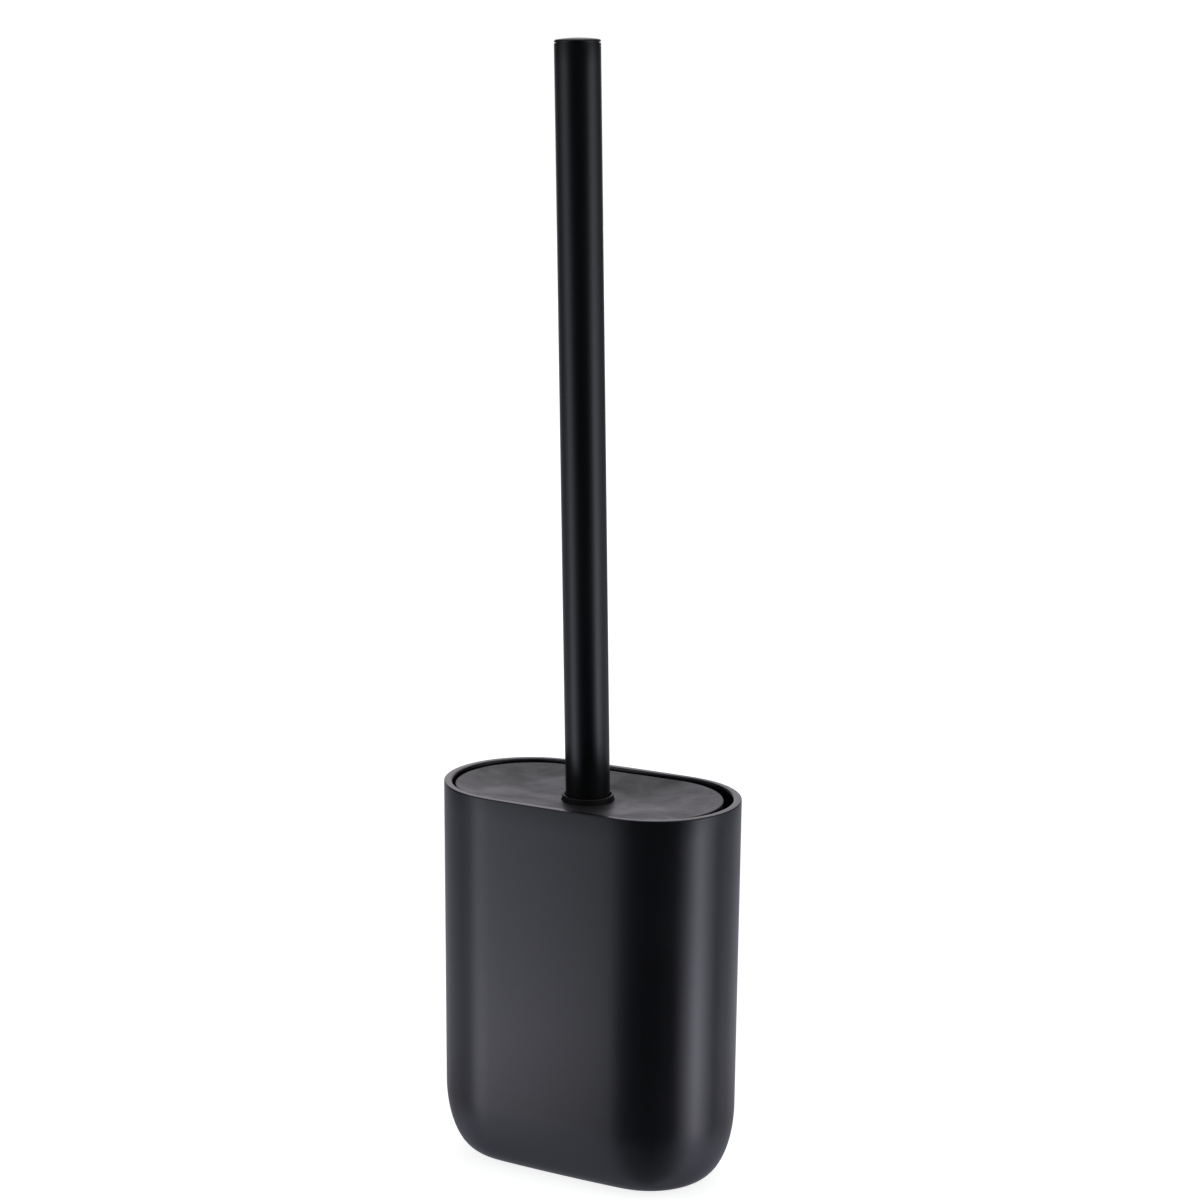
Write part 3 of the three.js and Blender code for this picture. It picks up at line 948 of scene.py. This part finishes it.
AROUND = 15
for i in range(ROWS):
    zc = core_bottom + 0.9 + (i + 0.5) * PITCH
    places = []
    for j in range(AROUND):
        a = 2 * math.pi * (j + 0.5 * (i % 2)) / AROUND
        out = Vector((math.cos(a), math.sin(a), 0))
        tilt = -0.05 if i == 0 else (0.05 if i == ROWS - 1 else 0.0)
        way = (out + Vector((0, 0, tilt))).normalized()
        places.append((out * CORE_R + Vector((0, 0, zc)), way, BRISTLE_R - CORE_R - 0.35))
    tufts(f"bristles_row_{i + 1}", places, 100 + i, f"bristle_row_{i + 1}")

places = []
for count, polar, root_r, root_z in (
    (14, 72, 6.1, 2.6),
    (11, 50, 4.9, 1.1),
    (7, 28, 3.0, 0.3),
    (3, 9, 1.1, 0.0),
):
    for j in range(count):
        a = 2 * math.pi * (j + polar * 0.013) / count
        p = math.radians(polar)
        out = Vector((math.cos(a), math.sin(a), 0))
        way = out * math.sin(p) - Vector((0, 0, math.cos(p)))
        root = out * root_r + Vector((0, 0, core_bottom + root_z))
        # to the trimmed dome that the head ends in
        ln = 5.0
        while ln < 24:
            q = root + way * (ln + 0.5)
            h = (q.z - TIP) / TIP_T
            rad = math.hypot(q.x, q.y)
            if h < 0.02 or rad > 22.6 * math.sqrt(max(0.0, 1 - max(0.0, 1 - h) ** 2.4)):
                break
            ln += 0.1
        places.append((root, way, ln))
tufts("bristles_tip", places, 211, "bristle_tip")

# -------------------------------------------------------------------- stage
floor_me = bpy.data.meshes.new("floor")
bm = bmesh.new()
bmesh.ops.create_circle(bm, cap_ends=True, segments=96, radius=8.0)
bm.to_mesh(floor_me)
bm.free()
floor = bpy.data.objects.new("floor", floor_me)
scene.collection.objects.link(floor)
fm = bpy.data.materials.new("floor_white")
fm.use_nodes = True
nt = fm.node_tree
nt.nodes.clear()
o = nt.nodes.new("ShaderNodeOutputMaterial")
e = nt.nodes.new("ShaderNodeEmission")
e.inputs["Color"].default_value = (1, 1, 1, 1)
e.inputs["Strength"].default_value = 0.85
d = nt.nodes.new("ShaderNodeBsdfDiffuse")
d.inputs["Color"].default_value = (0.8, 0.8, 0.8, 1)
a = nt.nodes.new("ShaderNodeAddShader")
nt.links.new(e.outputs[0], a.inputs[0])
nt.links.new(d.outputs[0], a.inputs[1])
# what the object mirrors of the table is the surround's light from below,
# strongest a hand's width in front of the object
reach = nt.nodes.new("ShaderNodeVectorMath")
reach.operation = "LENGTH"
nt.links.new(nt.nodes.new("ShaderNodeTexCoord").outputs["Object"], reach.inputs[0])
glow = nt.nodes.new("ShaderNodeValToRGB")
nt.links.new(reach.outputs["Value"], glow.inputs["Fac"])
glow.color_ramp.interpolation = "B_SPLINE"
while len(glow.color_ramp.elements) > 1:
    glow.color_ramp.elements.remove(glow.color_ramp.elements[-1])
for i, (r, g) in enumerate(
    ((0.0, 0.64), (0.05, 0.64), (0.087, 0.70), (0.12, 0.86), (0.155, 0.98), (0.19, 1.0),
     (0.23, 0.97), (0.315, 0.89), (0.40, 0.83), (0.50, 0.80), (1.0, 0.80))
):
    x = glow.color_ramp.elements[0] if i == 0 else glow.color_ramp.elements.new(r)
    x.position, x.color = r, (g, g, g, 1)
through = nt.nodes.new("ShaderNodeBsdfTransparent")
nt.links.new(glow.outputs["Color"], through.inputs["Color"])
mx = nt.nodes.new("ShaderNodeMixShader")
nt.links.new(nt.nodes.new("ShaderNodeLightPath").outputs["Is Camera Ray"], mx.inputs[0])
nt.links.new(through.outputs[0], mx.inputs[1])
nt.links.new(a.outputs[0], mx.inputs[2])
nt.links.new(mx.outputs[0], o.inputs["Surface"])
floor_me.materials.append(fm)

# the studio: one soft surround, brighter and darker by direction
AZ_STOPS = 24
# radiance by azimuth, from -Y (0) round through +X, at each elevation in degrees
ELEVATIONS = (-62, -34, -24, -17, -6, 14, 48)
STUDIO = (
    (0.36, 0.36, 0.36, 0.39, 0.43, 0.71, 0.99, 0.89, 0.79, 0.67, 0.56, 0.50, 0.44, 0.48, 0.53, 0.55, 0.58, 0.55, 0.53, 0.67, 0.82, 0.73, 0.63, 0.49),
    (0.31, 0.15, 0.07, 0.20, 0.40, 1.06, 1.96, 1.77, 1.25, 0.98, 0.74, 0.62, 0.53, 0.47, 0.43, 0.41, 0.43, 0.54, 0.76, 0.87, 1.10, 1.69, 1.34, 0.47),
    (0.01, 0.00, 0.00, 0.02, 0.00, 1.45, 3.62, 1.35, 0.35, 0.59, 0.52, 0.49, 0.45, 0.45, 0.45, 0.42, 0.37, 0.33, 0.40, 0.39, 0.49, 2.47, 1.81, 0.00),
    (0.06, 0.00, 0.00, 0.00, 0.00, 0.92, 4.15, 1.94, 0.43, 0.64, 0.63, 0.64, 0.49, 0.49, 0.51, 0.48, 0.42, 0.53, 0.57, 0.57, 0.84, 2.42, 1.30, 0.51),
    (0.00, 0.00, 0.00, 0.00, 0.00, 0.14, 1.38, 1.65, 0.88, 0.38, 0.19, 0.09, 0.33, 0.66, 0.98, 0.83, 0.45, 0.23, 0.04, 0.18, 0.58, 1.26, 0.89, 0.06),
    (0.00, 0.00, 0.00, 0.00, 0.00, 0.00, 0.24, 0.48, 0.21, 0.00, 0.00, 0.00, 0.55, 0.80, 1.02, 1.11, 0.00, 0.00, 0.00, 0.00, 0.29, 0.34, 0.16, 0.00),
    (0.28, 0.14, 0.00, 0.32, 0.65, 0.83, 1.01, 0.53, 0.06, 0.03, 0.00, 0.62, 1.24, 1.25, 1.25, 0.62, 0.00, 0.00, 0.00, 0.31, 0.63, 0.70, 0.76, 0.52),
)
TINTS = (
    (0.93, 0.94, 1.13),
    (0.91, 0.95, 1.14),
    (0.97, 0.95, 1.08),
    (0.93, 0.96, 1.11),
    (0.91, 1.01, 1.08),
    (1.03, 0.94, 1.02),
    (0.95, 1.00, 1.05),
)
world = bpy.data.worlds.new("studio")
scene.world = world
world.use_nodes = True
nt = world.node_tree


def surround(bands, scale=4.0):
    nt.nodes.clear()
    L = nt.links.new
    out = nt.nodes.new("ShaderNodeOutputWorld")
    tc = nt.nodes.new("ShaderNodeTexCoord").outputs["Generated"]
    sep = nt.nodes.new("ShaderNodeSeparateXYZ")
    L(tc, sep.inputs[0])

    def m(op, x, y=None):
        n = nt.nodes.new("ShaderNodeMath")
        n.operation = op
        for i, val in enumerate((x, y)):
            if isinstance(val, (int, float)):
                n.inputs[i].default_value = val
            elif val is not None:
                L(val, n.inputs[i])
        return n.outputs[0]

    az = m("ARCTAN2", sep.outputs["X"], m("MULTIPLY", sep.outputs["Y"], -1.0))
    frac = m("FRACT", m("ADD", m("DIVIDE", az, 2 * math.pi), 1.0))
    elev = m("ARCSINE", sep.outputs["Z"])

    def band(values, tint):
        r = nt.nodes.new("ShaderNodeValToRGB")
        r.color_ramp.interpolation = "LINEAR"
        el = r.color_ramp.elements
        while len(el) > 1:
            el.remove(el[-1])
        n = len(values)
        for i in range(n + 1):
            v = values[i % n] / scale
            x = el[0] if i == 0 else el.new(i / n)
            x.position = i / n
            x.color = (*(v * c for c in tint), 1)
        L(frac, r.inputs["Fac"])
        return r.outputs["Color"]

    def mixed(lo, hi, x, y):
        """x at and below the elevation lo, y at and above hi."""
        s = nt.nodes.new("ShaderNodeMapRange")
        L(elev, s.inputs["Value"])
        s.inputs["From Min"].default_value = math.radians(lo)
        s.inputs["From Max"].default_value = math.radians(hi)
        n = nt.nodes.new("ShaderNodeMix")
        n.data_type = "RGBA"
        L(s.outputs["Result"], n.inputs["Factor"])
        L(x, [s for s in n.inputs if s.name == "A" and s.type == "RGBA"][0])
        L(y, [s for s in n.inputs if s.name == "B" and s.type == "RGBA"][0])
        return [s for s in n.outputs if s.type == "RGBA"][0]

    color = band(bands[0], TINTS[0])
    for lo, hi, values, tint in zip(ELEVATIONS, ELEVATIONS[1:], bands[1:], TINTS[1:]):
        color = mixed(lo, hi, color, band(values, tint))
    bg = nt.nodes.new("ShaderNodeBackground")
    L(color, bg.inputs["Color"])
    bg.inputs["Strength"].default_value = scale
    plain = nt.nodes.new("ShaderNodeBackground")
    plain.inputs["Color"].default_value = (1, 1, 1, 1)
    plain.inputs["Strength"].default_value = 1.05
    mx = nt.nodes.new("ShaderNodeMixShader")
    L(nt.nodes.new("ShaderNodeLightPath").outputs["Is Camera Ray"], mx.inputs[0])
    L(bg.outputs[0], mx.inputs[1])
    L(plain.outputs[0], mx.inputs[2])
    L(mx.outputs[0], out.inputs["Surface"])


surround(STUDIO)
